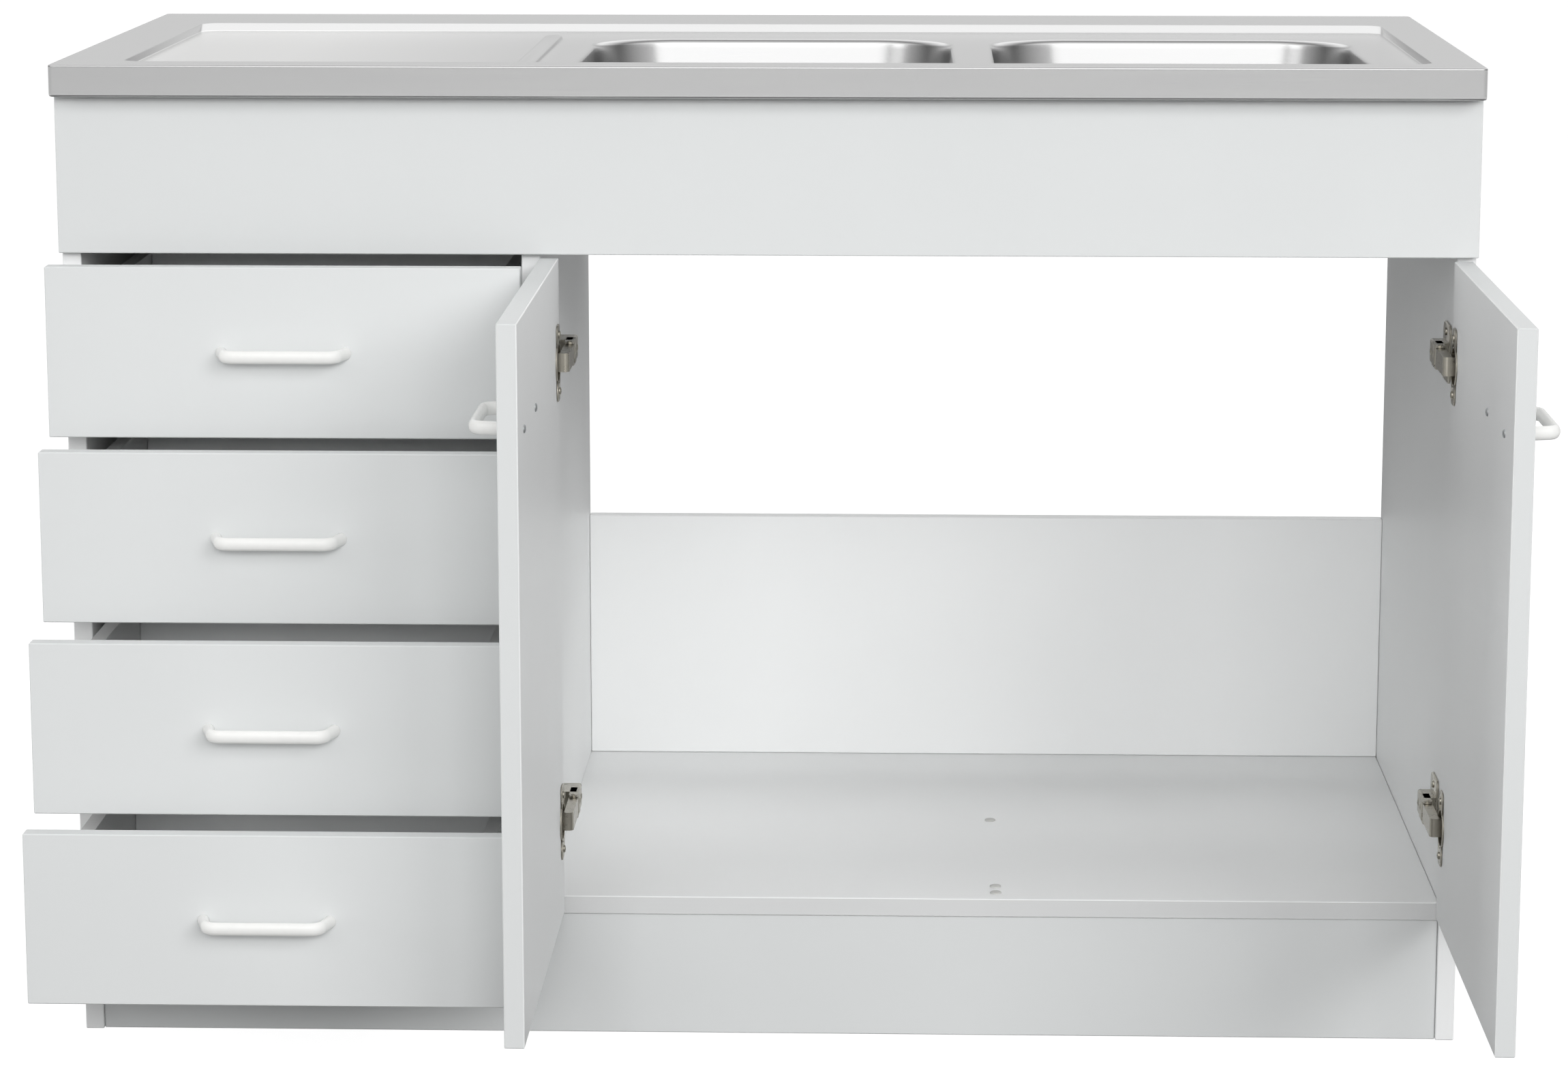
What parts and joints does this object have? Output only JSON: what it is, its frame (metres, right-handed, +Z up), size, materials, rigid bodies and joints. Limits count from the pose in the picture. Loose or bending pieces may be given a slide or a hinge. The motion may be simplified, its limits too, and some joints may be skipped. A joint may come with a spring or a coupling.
{
  "type": "kitchen sink cabinet",
  "caption": "White kitchen base cabinet with a pressed steel sink and drainer on top, a column of drawers at the left and a pair of hinged doors.",
  "frame": {"origin": "on the floor, at the middle of the underside of the plinth board", "axes": "+X to the cabinet's right seen from the front, +Y to the wall behind, +Z up"},
  "size_m": [1.2237, 0.9742, 0.85],
  "materials": {
    "white_melamine": "white melamine on chipboard, satin",
    "white_hardboard": "white lacquered hardboard",
    "sink_steel": "satin stainless steel",
    "waste_steel": "polished stainless steel",
    "hinge_nickel": "nickel-plated steel",
    "coated_steel": "white epoxy-coated steel",
    "white_plastic": "moulded, semi-gloss"
  },
  "bodies": {
    "carcass": {"left_side_panel": "white_melamine", "right_side_panel": "white_melamine", "middle_partition": "white_melamine", "base_board": "white_melamine", "plinth_board": "white_melamine", "front_fascia": "white_melamine", "rear_lower_board": "white_melamine", "rear_top_rail": "white_melamine", "drawer_bay_back": "white_hardboard", "sink_top": "sink_steel", "left_waste": "waste_steel", "right_waste": "waste_steel", "drawer_1_left_rail": "coated_steel", "drawer_1_right_rail": "coated_steel", "drawer_2_left_rail": "coated_steel", "drawer_2_right_rail": "coated_steel", "drawer_3_left_rail": "coated_steel", "drawer_3_right_rail": "coated_steel", "drawer_4_left_rail": "coated_steel", "drawer_4_right_rail": "coated_steel", "left_door_upper_hinge_arm": "hinge_nickel", "left_door_lower_hinge_arm": "hinge_nickel", "right_door_upper_hinge_arm": "hinge_nickel", "right_door_lower_hinge_arm": "hinge_nickel"},
    "drawer_1": {"drawer_1_front": "white_melamine", "drawer_1_handle": "white_plastic", "drawer_1_left_side": "coated_steel", "drawer_1_right_side": "coated_steel", "drawer_1_back": "white_melamine", "drawer_1_bottom": "white_melamine"},
    "drawer_2": {"drawer_2_front": "white_melamine", "drawer_2_handle": "white_plastic", "drawer_2_left_side": "coated_steel", "drawer_2_right_side": "coated_steel", "drawer_2_back": "white_melamine", "drawer_2_bottom": "white_melamine"},
    "drawer_3": {"drawer_3_front": "white_melamine", "drawer_3_handle": "white_plastic", "drawer_3_left_side": "coated_steel", "drawer_3_right_side": "coated_steel", "drawer_3_back": "white_melamine", "drawer_3_bottom": "white_melamine"},
    "drawer_4": {"drawer_4_front": "white_melamine", "drawer_4_handle": "white_plastic", "drawer_4_left_side": "coated_steel", "drawer_4_right_side": "coated_steel", "drawer_4_back": "white_melamine", "drawer_4_bottom": "white_melamine"},
    "left_door": {"left_door_panel": "white_melamine", "left_door_handle": "white_plastic", "left_door_upper_hinge_cup": "hinge_nickel", "left_door_lower_hinge_cup": "hinge_nickel"},
    "left_door_links": {"left_door_upper_hinge_link": "hinge_nickel", "left_door_lower_hinge_link": "hinge_nickel"},
    "right_door": {"right_door_panel": "white_melamine", "right_door_handle": "white_plastic", "right_door_upper_hinge_cup": "hinge_nickel", "right_door_lower_hinge_cup": "hinge_nickel"},
    "right_door_links": {"right_door_upper_hinge_link": "hinge_nickel", "right_door_lower_hinge_link": "hinge_nickel"}
  },
  "joints": [
    {"name": "drawer_1_slide", "type": "slide", "parent": "carcass", "child": "drawer_1", "axis": [0, -1, 0], "range_m": [-0.07, 0.16]},
    {"name": "drawer_2_slide", "type": "slide", "parent": "carcass", "child": "drawer_2", "axis": [0, -1, 0], "range_m": [-0.12, 0.14]},
    {"name": "drawer_3_slide", "type": "slide", "parent": "carcass", "child": "drawer_3", "axis": [0, -1, 0], "range_m": [-0.183, 0.077]},
    {"name": "drawer_4_slide", "type": "slide", "parent": "carcass", "child": "drawer_4", "axis": [0, -1, 0], "range_m": [-0.233, 0.027]},
    {"name": "left_door_swing", "type": "hinge", "parent": "carcass", "child": "left_door", "pos_m": [-0.19475, -0.03325, 0], "axis": [0, 0, 1], "range_deg": [0, 90]},
    {"name": "left_door_link_turn", "type": "hinge", "parent": "carcass", "child": "left_door_links", "pos_m": [-0.169, 0.003, 0], "axis": [0, 0, 1], "range_deg": [0, 90]},
    {"name": "right_door_swing", "type": "hinge", "parent": "carcass", "child": "right_door", "pos_m": [0.59695, -0.03105, 0], "axis": [0, 0, -1], "range_deg": [0, 90]},
    {"name": "right_door_link_turn", "type": "hinge", "parent": "carcass", "child": "right_door_links", "pos_m": [0.5734, 0.003, 0], "axis": [0, 0, -1], "range_deg": [0, 90]}
  ],
  "couplings": [
    {"joint": "left_door_link_turn", "follows": "left_door_swing", "ratio": 1},
    {"joint": "right_door_link_turn", "follows": "right_door_swing", "ratio": 1}
  ]
}
